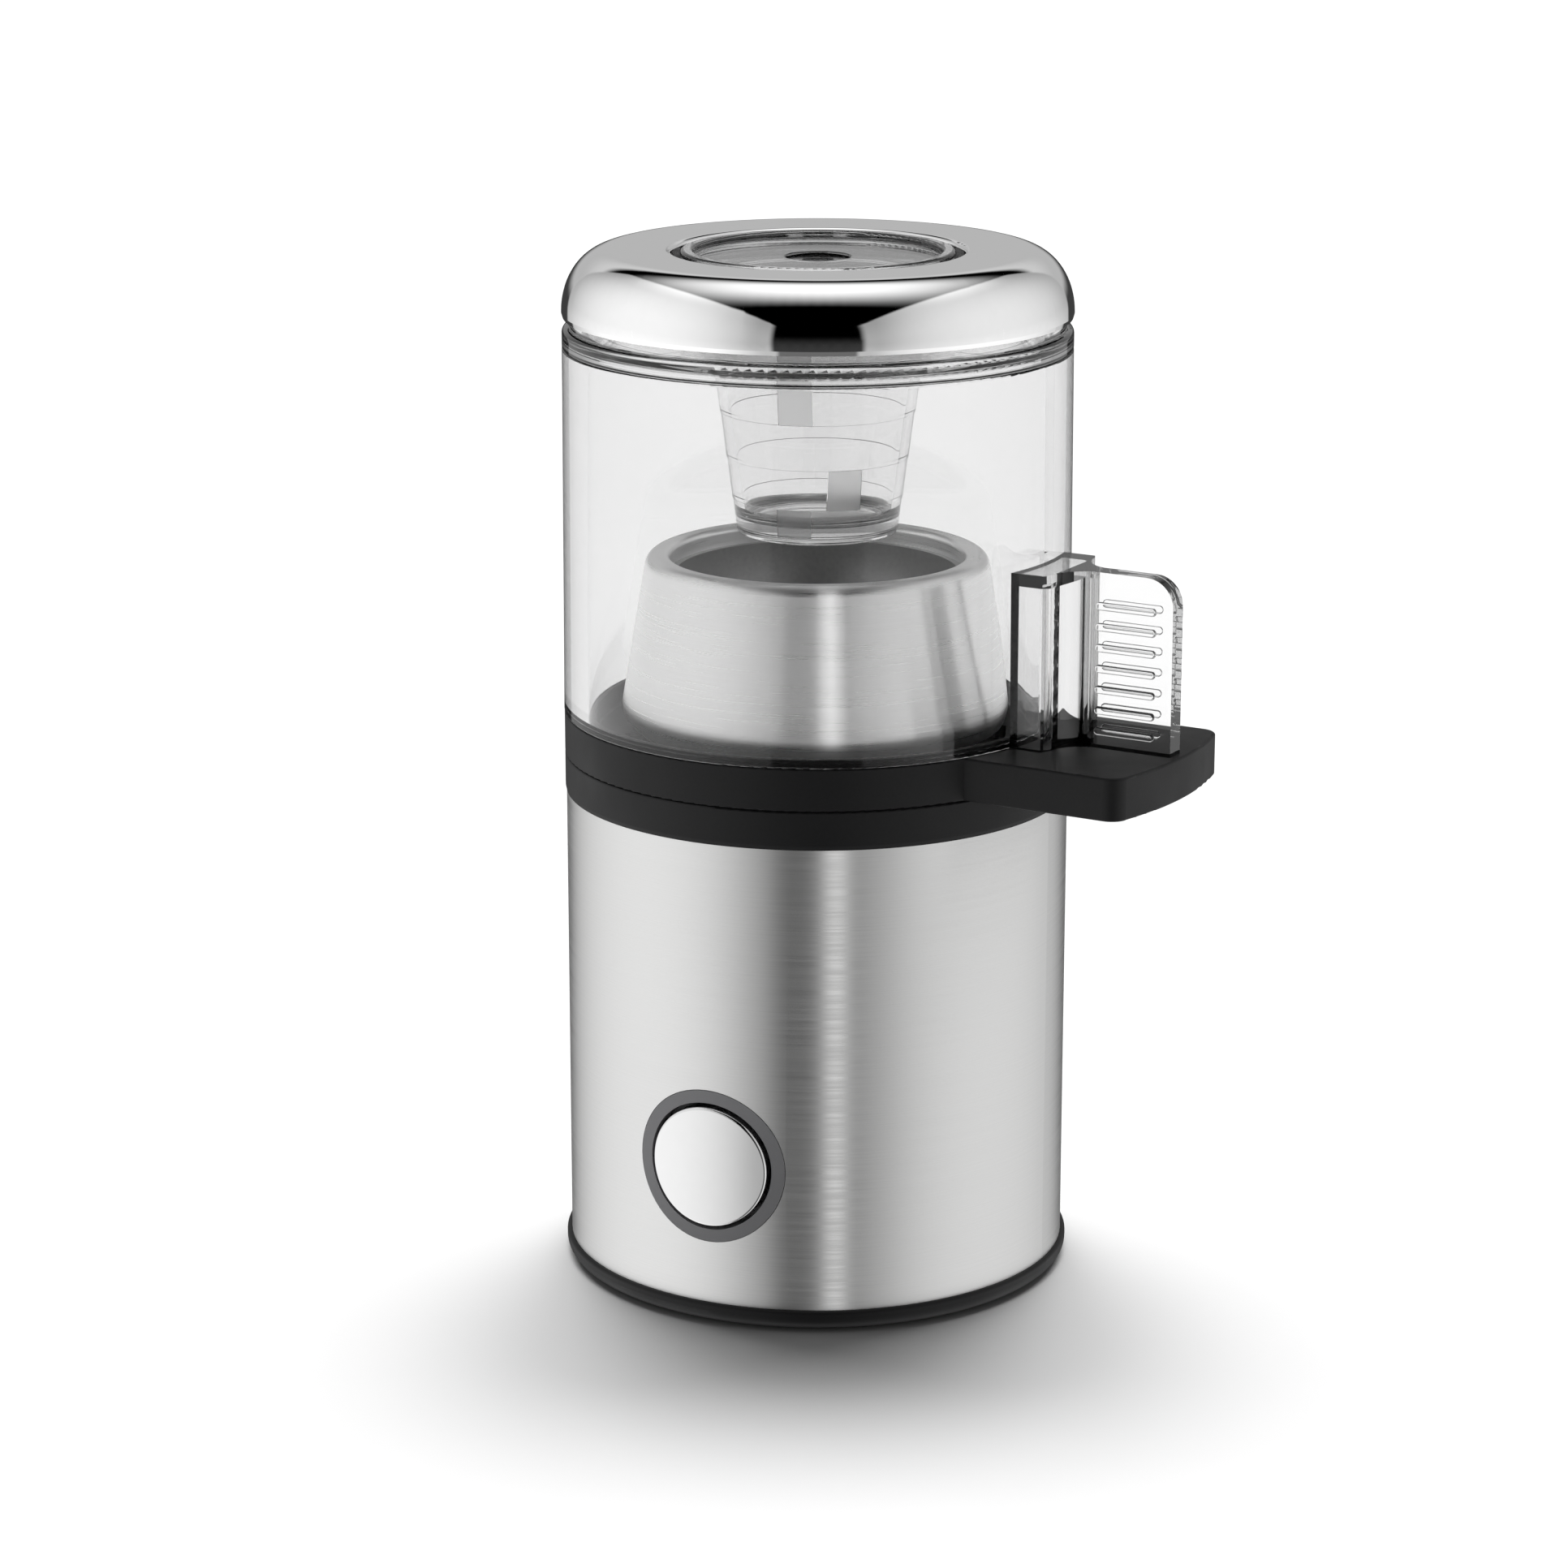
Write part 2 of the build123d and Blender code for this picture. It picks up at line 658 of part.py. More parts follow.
def cover_ring():
    spring_line = COVER_LOW + 0.7
    across = COVER_R - CROWN_R
    rise = COVER_TOP - spring_line
    lip_low = COVER_TOP - 3.0
    outer_mouth = COVER_MOUTH_R + COVER_WALL
    lines = [
        Line((COVER_R - 0.2, COVER_LOW), (COVER_R, spring_line)),
        EllipticalCenterArc((CROWN_R, spring_line), across, rise),
        FilletPolyline(
            (CROWN_R, COVER_TOP),
            (COVER_MOUTH_R, COVER_TOP - 0.2),
            (COVER_MOUTH_R, lip_low),
            radius=0.9,
        ),
        Line((COVER_MOUTH_R, lip_low), (outer_mouth, lip_low)),
        FilletPolyline(
            (outer_mouth, lip_low),
            (outer_mouth, COVER_TOP - 0.2 - COVER_WALL),
            (CROWN_R, COVER_TOP - COVER_WALL),
            radius=0.4,
        ),
        EllipticalCenterArc((CROWN_R, spring_line), across - COVER_WALL, rise - COVER_WALL),
        Line((COVER_R - COVER_WALL, spring_line), (COVER_R - COVER_WALL, COVER_LOW)),
        Line((COVER_R - COVER_WALL, COVER_LOW), (COVER_R - 0.2, COVER_LOW)),
    ]
    return revolve(make_face(Plane.XZ * Curve(lines)), Axis.Z)


def cover_clip():
    """Ring on the tower that the cover's turned-in mouth rests on."""
    return lathe(
        (TOWER_R + 0.1, 163.4, 0.3),
        (TOWER_R + 3.2, 163.4, 0.3),
        (TOWER_R + 3.2, COVER_TOP - 3.0),
        (TOWER_R + 0.1, COVER_TOP - 3.0),
    )


# Measuring cup

MEASURE_WALL = 1.5
MEASURE_FLANGE_Z = 157.2
BAND_STEP = 0.14  # how far the lower edge of a band stands proud of the band below
RECESS_TOP = MEASURE_BOTTOM + 1.2
MEASURE_FLOOR = RECESS_TOP + 1.3

MARK_HALF = 2.75
MARK_DEPTH = 0.3  # depth of its recess in the wall
MARK_SKIN = 0.26
EGG_HALF = 1.65
# Each mark: direction from the axis, the bands it spans, and how high its egg is filled, from 0 to 1
LEVEL_MARKS = {
    "low": (-81.4, 123.9, 128.4, 0.25),
    "middle": (-47.4, 128.4, 135.0, 0.5),
    "high": (-77.8, 142.4, 156.4, 0.95),
}


def measure_radius(z):
    """Outer radius of the measuring cup at a height, where its bands are flush."""
    return MEASURE_BOTTOM_R + MEASURE_SLOPE * (z - MEASURE_BOTTOM)


def stepped_outside():
    """Corners of the banded outside, from the lowest band's edge to the flange."""
    corners = []
    for low, high in zip(MEASURE_STEPS, MEASURE_STEPS[1:] + (MEASURE_FLANGE_Z,)):
        corners.append((measure_radius(low), low))
        corners.append((measure_radius(low) + BAND_STEP, low + 0.04, 0.1))
    return corners


def mark_band(low, high, inner, outer):
    """Conical layer between two depths, measured outwards from the flush outside."""
    return lathe(
        (measure_radius(low) + inner, low),
        (measure_radius(low) + outer, low),
        (measure_radius(high) + outer, high),
        (measure_radius(high) + inner, high),
    )


def measuring_cup():
    rim_r = measure_radius(MEASURE_TOP)
    flange_top = MEASURE_FLANGE_Z + 1.8
    flange_r = TOWER_BORE_R - 0.3
    cup = lathe(
        (0, RECESS_TOP),
        (MEASURE_BOTTOM_R - MEASURE_WALL, RECESS_TOP, 0.8),
        (MEASURE_BOTTOM_R - MEASURE_WALL, MEASURE_BOTTOM, 0.15),
        (MEASURE_BOTTOM_R, MEASURE_BOTTOM, 0.3),
        *stepped_outside(),
        (measure_radius(MEASURE_FLANGE_Z), MEASURE_FLANGE_Z),
        (flange_r, MEASURE_FLANGE_Z, 0.3),
        (flange_r, flange_top, 0.3),
        (measure_radius(flange_top), flange_top),
        (rim_r, MEASURE_TOP, 0.5),
        (rim_r - MEASURE_WALL, MEASURE_TOP, 0.5),
        (measure_radius(MEASURE_FLOOR) - MEASURE_WALL, MEASURE_FLOOR, 2.5),
        (0, MEASURE_FLOOR),
    )
    for angle, low, high, _ in LEVEL_MARKS.values():
        cup -= mark_band(low, high, -MARK_DEPTH, 1) & spoke(angle, 5, 30, MARK_HALF, low, high)
    return cup


def egg_face(half_width):
    """Outline of an upright egg: a round lower half and a longer upper half."""
    low_half = half_width * 1.08
    high_half = half_width * 1.35
    lower = EllipticalCenterArc((0, 0), half_width, low_half, 180, arc_size=180)
    upper = EllipticalCenterArc((0, 0), half_width, high_half, 0, arc_size=180)
    return make_face([lower, upper])


def egg_prism(angle, z, half_width):
    """Egg outline carried outwards along a direction from the axis."""
    face = Rot(0, 0, angle) * Pos(0, 0, z) * Plane.YZ * egg_face(half_width)
    radial = Vector(*around(1, angle))
    return extrude(face, amount=30, dir=radial)


def level_mark(angle, low, high, filled):
    """Frosted label in the wall: an egg with a raised outline, cut away where it is filled."""
    centre = min((low + high) / 2, low + 4.9)
    bottom = centre - EGG_HALF * 1.08
    fill_z = bottom + filled * EGG_HALF * 2.43
    edge = MARK_HALF - 0.02
    plate = mark_band(low + 0.02, high - 0.02, -MARK_DEPTH + 0.02, -MARK_DEPTH + 0.02 + MARK_SKIN)
    plate &= spoke(angle, 5, 30, edge, low, high)
    inside = egg_prism(angle, centre, EGG_HALF - 0.12)
    plate -= inside & block(-30, 30, -30, 30, low, fill_z)
    bead = mark_band(low + 0.02, high - 0.02, -MARK_DEPTH + 0.02, 0.1)
    bead &= egg_prism(angle, centre, EGG_HALF + 0.12) - inside
    return plate + bead


def numbered(name, shapes):
    """Names and shapes of a repeated sub-part."""
    return {f"{name}_{index}": shape for index, shape in enumerate(shapes, start=1)}


nodes = {
    "base_plate": base_plate(),
    "anti_slip_pad": anti_slip_pad(),
    "shell": shell(),
    "chassis": chassis(),
    "top_collar": top_collar(),
    "button_bezel": button_bezel(),
    "button_cap": button_cap(),
    "button_clip": button_clip(),
    "button_spring": button_spring(),
    "switch_plunger": switch_plunger(),
    "switch_body": switch_body(),
    "circuit_board": circuit_board(),
    "board_carrier": board_carrier(),
    "relay": relay(),
    "capacitor": capacitor(),
    "terminal_block": terminal_block(),
    "cord_gland": cord_gland(),
    "cord_clamp": cord_clamp(),
    "dish_seal": dish_seal(),
    "heating_dish": heating_dish(),
    "heater_plate": heater_plate(),
    "heater_element": heater_element(),
    "thermostat": thermostat(),
    "thermal_fuse": thermal_fuse(),
    "fuse_clip": fuse_clip(),
    "heat_shield": heat_shield(),
    "tray": tray(),
    "egg_cup_shell": egg_cup_shell(),
    "egg_cup_bowl": egg_cup_bowl(),
    "hood_wall": hood_wall(),
    "hood_cap": hood_cap(),
    "cover_ring": cover_ring(),
    "cover_clip": cover_clip(),
    "measuring_cup": measuring_cup(),
}
nodes.update({f"level_mark_{name}": level_mark(*mark) for name, mark in LEVEL_MARKS.items()})
nodes.update(numbered("base_screw", [base_screw(angle) for angle in SCREW_ANGLES]))
nodes.update(numbered("board_screw", [board_screw(x, z) for x, z in BOARD_HOLES]))
nodes.update(numbered("indicator_led", [indicator_led(x) for x in (-11.6, 11.6)]))
nodes.update(numbered("terminal_screw", [terminal_screw(x) for x in (-4, 4)]))
nodes.update(numbered("clamp_screw", [clamp_screw(x) for x in (-6.2, 6.2)]))
nodes.update(numbered("dish_nut", [dish_nut(angle) for angle in STUD_ANGLES]))
nodes.update(numbered("heater_lead", [heater_lead(side) for side in (-1, 1)]))
nodes.update(numbered("board_lead", [board_lead(side) for side in (-1, 1)]))

os.makedirs("parts", exist_ok=True)
for name, shape in nodes.items():
    export_step(shape, f"parts/{name}.step")
    print(name, round(shape.volume, 1))
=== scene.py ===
import math

import bpy
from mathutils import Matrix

# Single-egg cooker: brushed steel base with a push button, black collar and tray, steel egg cup,
# clear hood with a polished cover ring, and a clear measuring cup hung under the hood's top.
# Metres, in the frame of the CAD model.

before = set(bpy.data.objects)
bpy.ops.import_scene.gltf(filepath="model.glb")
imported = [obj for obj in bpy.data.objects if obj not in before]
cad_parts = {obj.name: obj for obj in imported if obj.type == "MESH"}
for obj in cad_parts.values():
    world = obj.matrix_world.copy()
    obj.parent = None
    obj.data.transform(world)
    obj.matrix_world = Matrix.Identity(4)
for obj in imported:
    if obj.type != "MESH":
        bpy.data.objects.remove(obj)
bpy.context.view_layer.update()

CAMERA_AZIMUTH = math.radians(24.9)  # from -Y towards +X
CAMERA_DISTANCE = 0.7234  # from the object's axis, along the floor
CAMERA_HEIGHT = 0.2729
CAMERA_PITCH = math.radians(14.95)
CAMERA_YAW = math.radians(0.428)
LENS_MM = 104.7
SENSOR_MM = 36

# Lights: turns and angles in degrees, from the camera's line of sight where they are sideways
SUN_TURNS = (-20, 0, 20)
SUN_TILT = -30
SUN_SPREAD = 34
SUN_ENERGY = 5.6
STRIP_TURN = 8.5
STRIP_DISTANCE = 1.5
STRIP_HEIGHT = 0.1
STRIP_WIDTH = 0.24
STRIP_LENGTH = 5.0
STRIP_ENERGY = 10
STRIP_LIT = ("shell", "egg_cup_shell")
FLOOR_RADIUS = 40
FLOOR_SIDES = 96
FLOOR_SHADE = ("base_plate", "shell", "button_bezel", "button_cap", "top_collar", "heating_dish")


# Shader nodes

def add(tree, kind, inputs=None, **settings):
    """Adds a shader node. Each input is a value, or a socket to link from."""
    made = tree.nodes.new("ShaderNode" + kind)
    for name, setting in settings.items():
        setattr(made, name, setting)
    for key, given in (inputs or {}).items():
        if isinstance(given, bpy.types.NodeSocket):
            tree.links.new(given, made.inputs[key])
        else:
            made.inputs[key].default_value = given
    return made


def maths(tree, operation, *values):
    return add(tree, "Math", dict(enumerate(values)), operation=operation).outputs[0]


def fade(tree, value, start, end, low=0.0, high=1.0):
    """Goes smoothly from low at start to high at end."""
    inputs = {"Value": value, "From Min": start, "From Max": end, "To Min": low, "To Max": high}
    return add(tree, "MapRange", inputs, interpolation_type="SMOOTHSTEP").outputs["Result"]


def product(tree, *values):
    total = values[0]
    for value in values[1:]:
        total = maths(tree, "MULTIPLY", total, value)
    return total


def total_of(tree, *values):
    total = values[0]
    for value in values[1:]:
        total = maths(tree, "ADD", total, value)
    return total


# Studio

def side_panel(tree, across, towards, up, ends, centre):
    """Tall flat light beside the object, parallel to the line of sight, and the pale floor below it."""
    reach = maths(tree, "MAXIMUM", across, 0.0001)
    depth = maths(tree, "DIVIDE", towards, reach)
    height = maths(tree, "DIVIDE", up, reach)
    rear_edge = fade(tree, depth, -1.85, -1.62)
    front_edge = fade(tree, depth, 2.95, 2.45)
    top_edge = fade(tree, height, 1.52, 1.36)
    upper_half = fade(tree, height, 1.4, 0.2, 0.8, 1.0)
    rear_half = fade(tree, depth, -1.8, 0.0)
    front_half = fade(tree, depth, 2.1, 0.1)
    glow = product(tree, rear_half, front_half)
    level = maths(tree, "MULTIPLY_ADD", glow, centre - ends, ends)
    floor_gain = fade(tree, height, 0.0, -0.3, 1.0, 1.25)
    return product(tree, level, rear_edge, front_edge, top_edge, upper_half, floor_gain)


def overhead_panel(tree, right, towards, up):
    """Flat light above, from behind the object to just in front of it."""
    height = maths(tree, "MAXIMUM", up, 0.0001)
    depth = maths(tree, "DIVIDE", towards, height)
    side = maths(tree, "ABSOLUTE", maths(tree, "DIVIDE", right, height))
    rear_edge = fade(tree, depth, -1.25, -0.4)
    front_edge = fade(tree, depth, 0.62, -0.25)
    return product(tree, fade(tree, side, 1.1, 0.0, 0.0, 1.25), rear_edge, front_edge)


def rear_wall(tree, side, behind, up):
    """Grey wall behind the object, brighter towards its top."""
    depth = maths(tree, "MAXIMUM", behind, 0.0001)
    height = maths(tree, "DIVIDE", up, depth)
    narrow = fade(tree, maths(tree, "DIVIDE", side, depth), 0.62, 0.54)
    top_edge = fade(tree, height, 0.66, 0.5)
    floor_edge = fade(tree, height, -0.05, 0.1, 0.1, 1.0)
    return product(tree, fade(tree, height, 0.2, 0.5, 0.48, 0.62), narrow, top_edge, floor_edge)


def dark_front(tree, side, towards, up):
    """Dark space round the camera, with the pale floor below it."""
    depth = maths(tree, "MAXIMUM", towards, 0.0001)
    height = maths(tree, "DIVIDE", up, depth)
    narrow = fade(tree, maths(tree, "DIVIDE", side, depth), 0.42, 0.33)
    haze = fade(tree, height, 0.23, -0.16, 0.0, 0.05)
    floor_glow = fade(tree, height, -0.15, -0.3, 0.0, 0.1)
    return product(tree, total_of(tree, haze, floor_glow), narrow)


def make_world():
    """Studio as light from each direction, which the camera itself sees only in the surfaces.

    Nothing samples the world directly, so its light reaches the inside of the hood only through the plastic.
    """
    world = bpy.data.worlds.new("studio")
    bpy.context.scene.world = world
    world.use_nodes = True
    tree = world.node_tree
    tree.nodes.clear()
    direction = add(tree, "TexCoord").outputs["Generated"]
    turned = add(
        tree, "VectorRotate", {"Vector": direction, "Angle": -CAMERA_AZIMUTH}, rotation_type="Z_AXIS"
    )
    axes = add(tree, "SeparateXYZ", {"Vector": turned.outputs["Vector"]}).outputs
    right = axes["X"]
    towards = maths(tree, "MULTIPLY", axes["Y"], -1)
    up = axes["Z"]
    side = maths(tree, "ABSOLUTE", right)
    left = maths(tree, "MULTIPLY", right, -1)
    light = total_of(
        tree,
        side_panel(tree, left, towards, up, ends=0.44, centre=1.0),
        side_panel(tree, right, towards, up, ends=0.42, centre=0.86),
        overhead_panel(tree, right, towards, up),
        rear_wall(tree, side, axes["Y"], up),
        dark_front(tree, side, towards, up),
    )
    studio = add(tree, "Background", {"Color": (1, 1, 1, 1), "Strength": light})
    backdrop = add(tree, "Background", {"Color": (1, 1, 1, 1), "Strength": 1.0})
    seen = add(tree, "LightPath").outputs["Is Camera Ray"]
    world.cycles.sampling_method = "NONE"
    mixed = add(tree, "MixShader", {0: seen, 1: studio.outputs[0], 2: backdrop.outputs[0]})
    add(tree, "OutputWorld", {"Surface": mixed.outputs[0]})


def collection_of(objects):
    collection = bpy.data.collections.new("linked")
    for linked in objects:
        collection.objects.link(linked)
    return collection


def lights_only(light, receivers, blockers=()):
    """Limits a light to the objects it falls on, and its shadows to the blockers' if there are any."""
    light.light_linking.receiver_collection = collection_of(receivers)
    if blockers:
        light.light_linking.blocker_collection = collection_of(blockers)


def studio_place(angle, distance, height):
    """Point at an angle to the right of the camera's line, seen from the object's axis."""
    turn = CAMERA_AZIMUTH + math.radians(angle)
    return distance * math.sin(turn), -distance * math.cos(turn), height


def node_objects(names):
    return [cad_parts[name] for name in names]


def make_floor_suns(floor):
    """Lights above and behind, which lift the floor to white and leave the soft shadow in front."""
    for turn in SUN_TURNS:
        data = bpy.data.lights.new("floor_sun", "SUN")
        data.energy = SUN_ENERGY
        data.angle = math.radians(SUN_SPREAD)
        sun = bpy.data.objects.new("floor_sun", data)
        bpy.context.scene.collection.objects.link(sun)
        sun.rotation_euler = (math.radians(SUN_TILT), math.radians(turn), CAMERA_AZIMUTH)
        lights_only(sun, [floor], node_objects(FLOOR_SHADE))


def make_strip_light():
    """Narrow upright light beside the camera, which draws the bright line down the brushed steel."""
    data = bpy.data.lights.new("strip", "AREA")
    data.shape = "RECTANGLE"
    data.size = STRIP_WIDTH
    data.size_y = STRIP_LENGTH
    data.energy = STRIP_ENERGY
    strip = bpy.data.objects.new("strip", data)
    bpy.context.scene.collection.objects.link(strip)
    strip.location = studio_place(STRIP_TURN, STRIP_DISTANCE, STRIP_HEIGHT)
    strip.rotation_euler = (math.radians(90), 0, CAMERA_AZIMUTH + math.radians(STRIP_TURN))
    strip.visible_camera = False
    lights_only(strip, node_objects(STRIP_LIT))


def make_floor():
    """Round pale floor, far wider than the view."""
    mesh = bpy.data.meshes.new("floor")
    turns = [math.tau * i / FLOOR_SIDES for i in range(FLOOR_SIDES)]
    corners = [(FLOOR_RADIUS * math.cos(turn), FLOOR_RADIUS * math.sin(turn), 0) for turn in turns]
    mesh.from_pydata(corners, [], [range(FLOOR_SIDES)])
    floor = bpy.data.objects.new("floor", mesh)
    bpy.context.scene.collection.objects.link(floor)
    material = bpy.data.materials.new("floor_paint")
    material.use_nodes = True
    tree = material.node_tree
    shader = tree.nodes["Principled BSDF"]
    place = add(tree, "TexCoord").outputs["Object"]
    mottle = add(tree, "TexNoise", {"Vector": place, "Scale": 40.0, "Detail": 3.0}).outputs["Fac"]
    tint = add(tree, "ValToRGB", {"Fac": mottle})
    tint.color_ramp.elements[0].color = (0.218, 0.218, 0.218, 1)
    tint.color_ramp.elements[1].color = (0.222, 0.222, 0.222, 1)
    tree.links.new(tint.outputs["Color"], shader.inputs["Base Color"])
    shader.inputs["Roughness"].default_value = 1.0
    shader.inputs["Specular IOR Level"].default_value = 0.0
    mesh.materials.append(material)
    floor.visible_glossy = False
    return floor


def make_camera():
    data = bpy.data.cameras.new("camera")
    data.sensor_width = SENSOR_MM
    data.lens = LENS_MM
    data.clip_start = 0.05
    data.clip_end = 100
    camera = bpy.data.objects.new("camera", data)
    camera.location = studio_place(0, CAMERA_DISTANCE, CAMERA_HEIGHT)
    camera.rotation_euler = (math.pi / 2 - CAMERA_PITCH, 0, CAMERA_AZIMUTH + CAMERA_YAW)
    bpy.context.scene.collection.objects.link(camera)
    bpy.context.scene.camera = camera


# Finishes

def scaled_place(tree, scale):
    """Object position in units of the grain, which may be longer one way than another."""
    place = add(tree, "TexCoord").outputs["Object"]
    return add(tree, "Mapping", {"Vector": place, "Scale": scale}).outputs["Vector"]


def vary(tree, grain, colour, amount):
    """Colour that swings by a share either side of the given one."""
    ramp = add(tree, "ValToRGB", {"Fac": grain})
    ramp.color_ramp.elements[0].position = 0.25
    ramp.color_ramp.elements[1].position = 0.75
    ramp.color_ramp.elements[0].color = (*[c * (1 - amount) for c in colour], 1)
    ramp.color_ramp.elements[1].color = (*[min(1, c * (1 + amount)) for c in colour], 1)
    return ramp.outputs["Color"]


def relief(tree, height, depth):
    """Fine bumps of a depth in metres."""
    return add(tree, "Bump", {"Height": height, "Strength": 1.0, "Distance": depth}).outputs["Normal"]


def moulded(tree, shader, colour, roughness, grain=2500.0, depth=0.00001, specular=0.5, amount=0.12):
    """Opaque moulded plastic, rubber or ceramic: fine spark-eroded grain and slightly uneven tone."""
    fine = add(tree, "TexNoise", {"Vector": scaled_place(tree, (grain,) * 3), "Scale": 1.0, "Detail": 3.0})
    broad = add(tree, "TexNoise", {"Vector": scaled_place(tree, (90.0,) * 3), "Scale": 1.0, "Detail": 2.0})
    tree.links.new(vary(tree, fine.outputs["Fac"], colour, amount), shader.inputs["Base Color"])
    tree.links.new(
        fade(tree, broad.outputs["Fac"], 0.3, 0.7, roughness - 0.03, roughness + 0.04),
        shader.inputs["Roughness"],
    )
    tree.links.new(relief(tree, fine.outputs["Fac"], depth), shader.inputs["Normal"])
    shader.inputs["Specular IOR Level"].default_value = specular


def brushed(tree, shader, colour, roughness, anisotropy=0.9, amount=0.07, length=70.0, width=5200.0):
    """Steel brushed round its axis: short fine scratches that spread the light up and down."""
    scratches = add(
        tree, "TexNoise", {"Vector": scaled_place(tree, (length, length, width)), "Scale": 1.0, "Detail": 4.0}
    ).outputs["Fac"]
    long_scratches = add(
        tree, "TexNoise", {"Vector": scaled_place(tree, (length / 4, length / 4, width / 3)), "Scale": 1.0}
    ).outputs["Fac"]
    marks = maths(tree, "MULTIPLY_ADD", long_scratches, 0.4, maths(tree, "MULTIPLY", scratches, 0.6))
    tree.links.new(vary(tree, marks, colour, amount), shader.inputs["Base Color"])
    tree.links.new(
        fade(tree, marks, 0.3, 0.7, roughness - 0.04, roughness + 0.04), shader.inputs["Roughness"]
    )
    shader.inputs["Metallic"].default_value = 1.0
    shader.inputs["Anisotropic"].default_value = anisotropy
    shader.inputs["Anisotropic Rotation"].default_value = 0.25
    tangent = add(tree, "Tangent", direction_type="RADIAL", axis="Z")
    tree.links.new(tangent.outputs["Tangent"], shader.inputs["Tangent"])
    tree.links.new(relief(tree, marks, 0.0000015), shader.inputs["Normal"])


def polished(tree, shader, colour, roughness):
    """Plated metal: mirror finish with the faint haze of fine wiping marks."""
    haze = add(tree, "TexNoise", {"Vector": scaled_place(tree, (500.0,) * 3), "Scale": 1.0, "Detail": 5.0})
    tree.links.new(vary(tree, haze.outputs["Fac"], colour, 0.01), shader.inputs["Base Color"])
    tree.links.new(
        fade(tree, haze.outputs["Fac"], 0.35, 0.75, roughness, roughness + 0.015), shader.inputs["Roughness"]
    )
    shader.inputs["Metallic"].default_value = 1.0


def bare_metal(tree, shader, colour, roughness, grain=1500.0, depth=0.000004, amount=0.1):
    """Formed or cast metal with a fine even grain."""
    fine = add(tree, "TexNoise", {"Vector": scaled_place(tree, (grain,) * 3), "Scale": 1.0, "Detail": 5.0})
    tree.links.new(vary(tree, fine.outputs["Fac"], colour, amount), shader.inputs["Base Color"])
    tree.links.new(
        fade(tree, fine.outputs["Fac"], 0.3, 0.7, roughness - 0.06, roughness + 0.06),
        shader.inputs["Roughness"],
    )
    tree.links.new(relief(tree, fine.outputs["Fac"], depth), shader.inputs["Normal"])
    shader.inputs["Metallic"].default_value = 1.0


def clear(tree, shader, colour, roughness, transmission=1.0, ior=1.5, flow=0.0000006, density=0.0):
    """Clear moulded plastic with the slight waviness of its flow in the mould."""
    wave = add(tree, "TexNoise", {"Vector": scaled_place(tree, (60.0,) * 3), "Scale": 1.0, "Detail": 1.0})
    tree.links.new(vary(tree, wave.outputs["Fac"], colour, 0.01), shader.inputs["Base Color"])
    tree.links.new(
        fade(tree, wave.outputs["Fac"], 0.3, 0.7, roughness, roughness + 0.01), shader.inputs["Roughness"]
    )
    tree.links.new(relief(tree, wave.outputs["Fac"], flow), shader.inputs["Normal"])
    shader.inputs["Transmission Weight"].default_value = transmission
    shader.inputs["IOR"].default_value = ior
    if density:
        depth = add(tree, "VolumeAbsorption", {"Color": (0.02, 0.02, 0.02, 1), "Density": density})
        tree.links.new(depth.outputs["Volume"], tree.nodes["Material Output"].inputs["Volume"])


def laminate(tree, shader, colour, roughness):
    """Circuit board: glass weave under solder resist, with the copper tracks showing as lighter lines."""
    weave = add(tree, "TexChecker", {"Vector": scaled_place(tree, (1, 1, 1)), "Scale": 2500.0}).outputs["Fac"]
    tracks = add(
        tree, "TexBrick", {"Vector": scaled_place(tree, (140, 140, 140)), "Scale": 1.0, "Mortar Size": 0.03}
    ).outputs["Fac"]
    mix = maths(tree, "MULTIPLY_ADD", tracks, 0.5, maths(tree, "MULTIPLY", weave, 0.2))
    tree.links.new(vary(tree, mix, colour, 0.35), shader.inputs["Base Color"])
    tree.links.new(fade(tree, weave, 0, 1, roughness, roughness + 0.08), shader.inputs["Roughness"])
    tree.links.new(relief(tree, tracks, 0.00003), shader.inputs["Normal"])


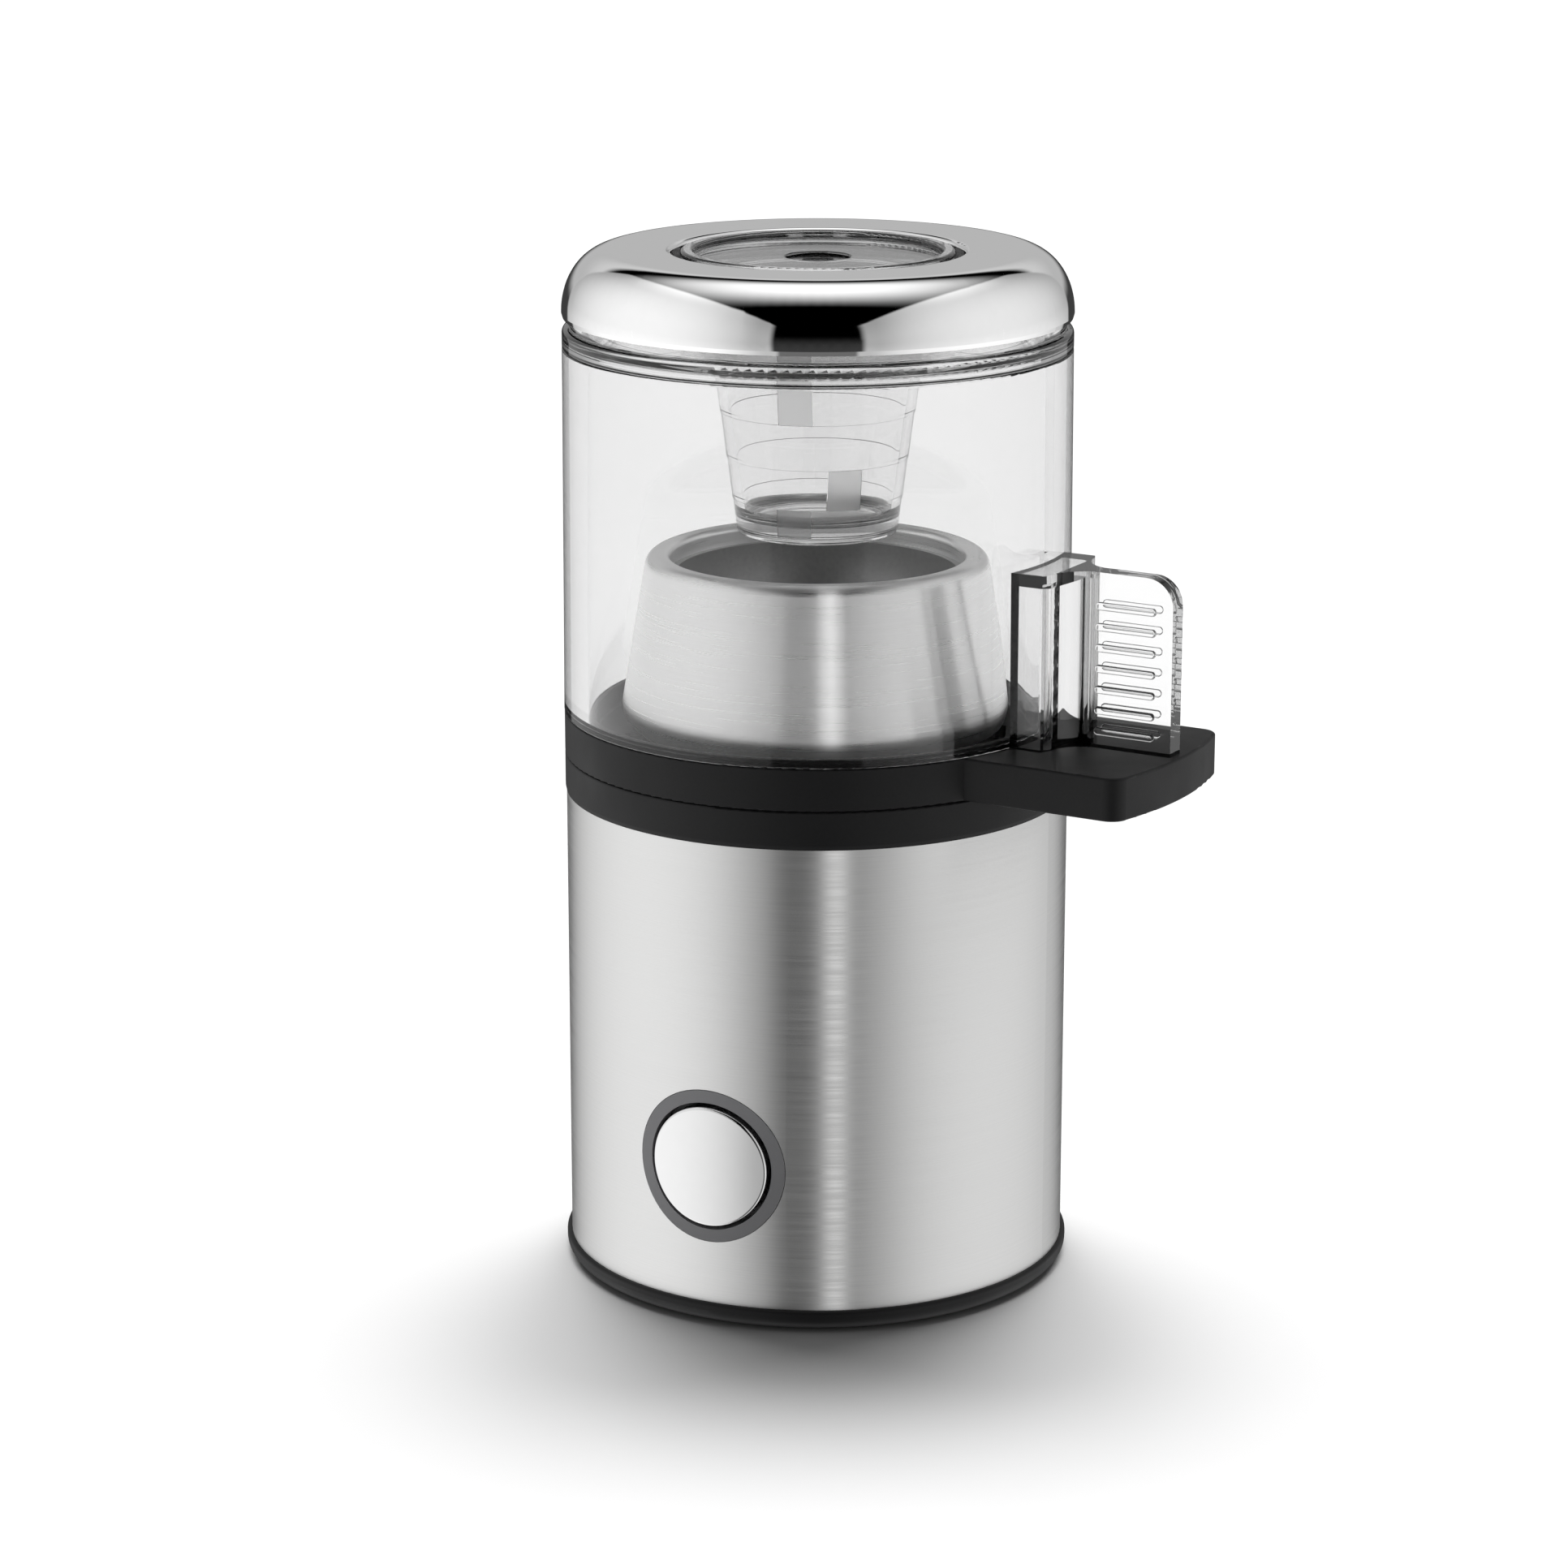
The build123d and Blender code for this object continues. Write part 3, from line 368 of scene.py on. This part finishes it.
FINISHES = {
    "black_plastic": (moulded, {"colour": (0.008, 0.008, 0.0085), "roughness": 0.48, "specular": 0.22}),
    "pad_rubber": (moulded, {"colour": (0.03, 0.03, 0.031), "roughness": 0.8, "grain": 1200.0}),
    "brushed_steel": (brushed, {"colour": (0.74, 0.74, 0.735), "roughness": 0.42}),
    "cup_steel": (brushed, {"colour": (0.98, 0.98, 0.975), "roughness": 0.3, "anisotropy": 0.94}),
    "bowl_steel": (bare_metal, {"colour": (0.3, 0.3, 0.3), "roughness": 0.35}),
    "button_metal": (polished, {"colour": (0.73, 0.73, 0.73), "roughness": 0.1}),
    "cover_chrome": (polished, {"colour": (0.93, 0.93, 0.93), "roughness": 0.03}),
    "clear_plastic": (clear, {"colour": (1.0, 1.0, 1.0), "roughness": 0.0, "density": 28.0}),
    "cup_clear_plastic": (clear, {"colour": (1.0, 1.0, 1.0), "roughness": 0.0, "density": 22.0}),
    "frosted_mark": (
        clear, {"colour": (0.93, 0.93, 0.93), "roughness": 0.3, "transmission": 0.92, "ior": 1.35}
    ),
    "light_ring_plastic": (clear, {"colour": (0.25, 0.25, 0.26), "roughness": 0.3, "transmission": 0.35}),
    "led_resin": (clear, {"colour": (0.95, 0.95, 0.97), "roughness": 0.15, "transmission": 0.8}),
    "frame_plastic": (moulded, {"colour": (0.05, 0.05, 0.052), "roughness": 0.5}),
    "switch_plastic": (moulded, {"colour": (0.02, 0.02, 0.022), "roughness": 0.4}),
    "relay_plastic": (moulded, {"colour": (0.03, 0.12, 0.35), "roughness": 0.4}),
    "terminal_plastic": (moulded, {"colour": (0.65, 0.65, 0.6), "roughness": 0.45}),
    "gland_rubber": (moulded, {"colour": (0.02, 0.02, 0.021), "roughness": 0.6, "grain": 1500.0}),
    "seal_silicone": (moulded, {"colour": (0.45, 0.45, 0.44), "roughness": 0.5}),
    "thermostat_ceramic": (moulded, {"colour": (0.55, 0.5, 0.42), "roughness": 0.6}),
    "fuse_sleeve": (moulded, {"colour": (0.75, 0.72, 0.6), "roughness": 0.65, "grain": 4000.0}),
    "lead_sleeve": (moulded, {"colour": (0.6, 0.6, 0.58), "roughness": 0.6, "grain": 4000.0}),
    "dish_coating": (bare_metal, {"colour": (0.16, 0.16, 0.17), "roughness": 0.4}),
    "cast_aluminium": (bare_metal, {"colour": (0.62, 0.62, 0.63), "roughness": 0.5, "grain": 900.0}),
    "element_steel": (bare_metal, {"colour": (0.38, 0.35, 0.32), "roughness": 0.4}),
    "shield_aluminium": (bare_metal, {"colour": (0.75, 0.75, 0.76), "roughness": 0.32}),
    "fastener_steel": (bare_metal, {"colour": (0.6, 0.6, 0.58), "roughness": 0.3}),
    "spring_steel": (bare_metal, {"colour": (0.5, 0.5, 0.5), "roughness": 0.28}),
    "capacitor_can": (bare_metal, {"colour": (0.55, 0.56, 0.6), "roughness": 0.3}),
    "terminal_brass": (bare_metal, {"colour": (0.72, 0.55, 0.28), "roughness": 0.3}),
    "board_laminate": (laminate, {"colour": (0.02, 0.14, 0.06), "roughness": 0.35}),
}


def make_finish(slot):
    """Material for one of the record's slots."""
    material = bpy.data.materials.new(f"{slot}_finish")
    material.use_nodes = True
    tree = material.node_tree
    build, settings = FINISHES[slot]
    build(tree, tree.nodes["Principled BSDF"], **settings)
    return material


def finish_nodes():
    """Gives each CAD node its finish. Clear ones cast no hard shadow, since light passes through them."""
    finishes = {slot: make_finish(slot) for slot in FINISHES}
    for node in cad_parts.values():
        for holder in node.material_slots:
            slot = holder.material.name
            holder.material = finishes[slot]
            node.visible_shadow = FINISHES[slot][0] is not clear


finish_nodes()
make_world()
make_floor_suns(make_floor())
make_strip_light()
make_camera()
bpy.context.scene.view_settings.view_transform = "Standard"
